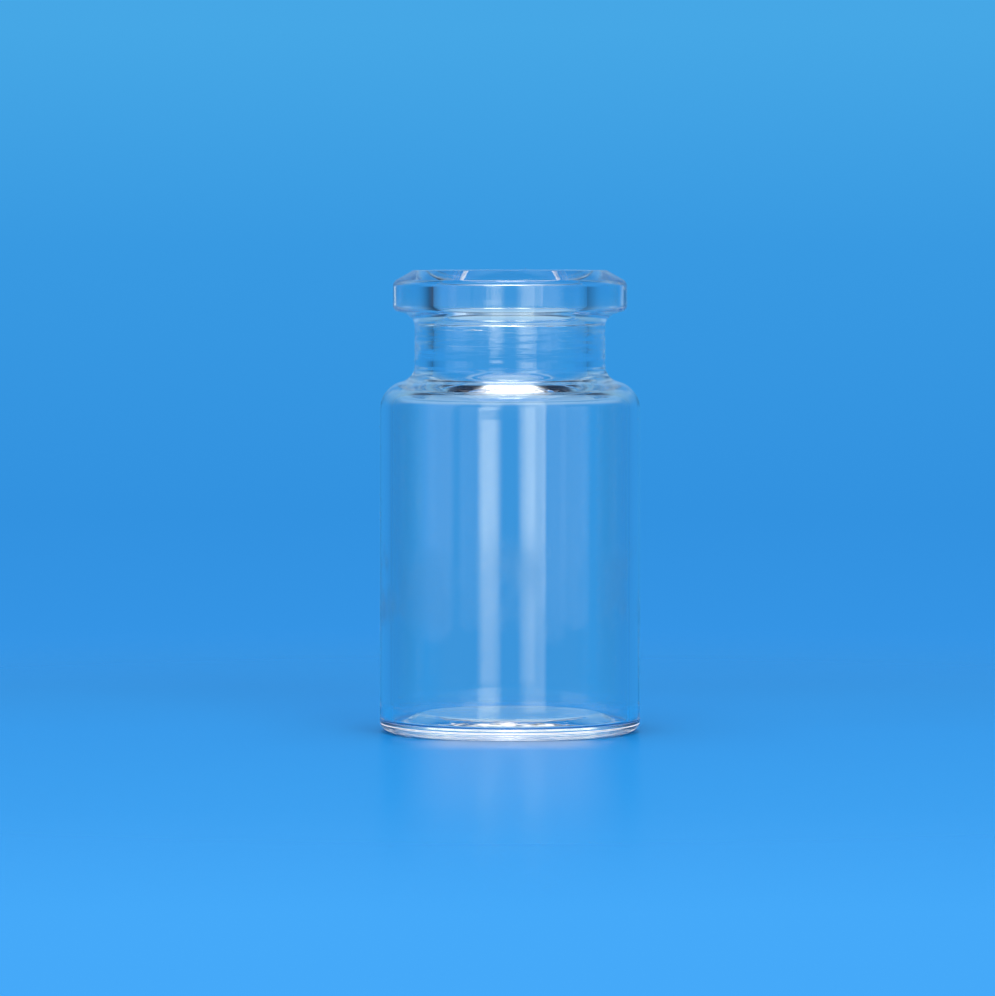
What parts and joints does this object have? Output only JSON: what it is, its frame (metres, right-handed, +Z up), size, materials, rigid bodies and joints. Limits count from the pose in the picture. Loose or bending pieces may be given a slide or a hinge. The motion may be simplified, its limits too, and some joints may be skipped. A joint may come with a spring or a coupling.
{
  "type": "glass sample vial",
  "caption": "Clear glass sample vial with a straight body, sloped shoulder, short neck and bevelled crimp flange; the open mouth takes a stopper or septum under a crimp cap.",
  "frame": {"origin": "centre of the resting ring, on the surface the vial stands on", "axes": "+Z up along the vial's axis, towards the mouth; X and Y across, with no preferred direction"},
  "size_m": [0.022, 0.022, 0.039],
  "materials": {
    "glass": "clear, colourless, fire-polished"
  },
  "bodies": {
    "root": {"vial": "glass"}
  },
  "joints": []
}
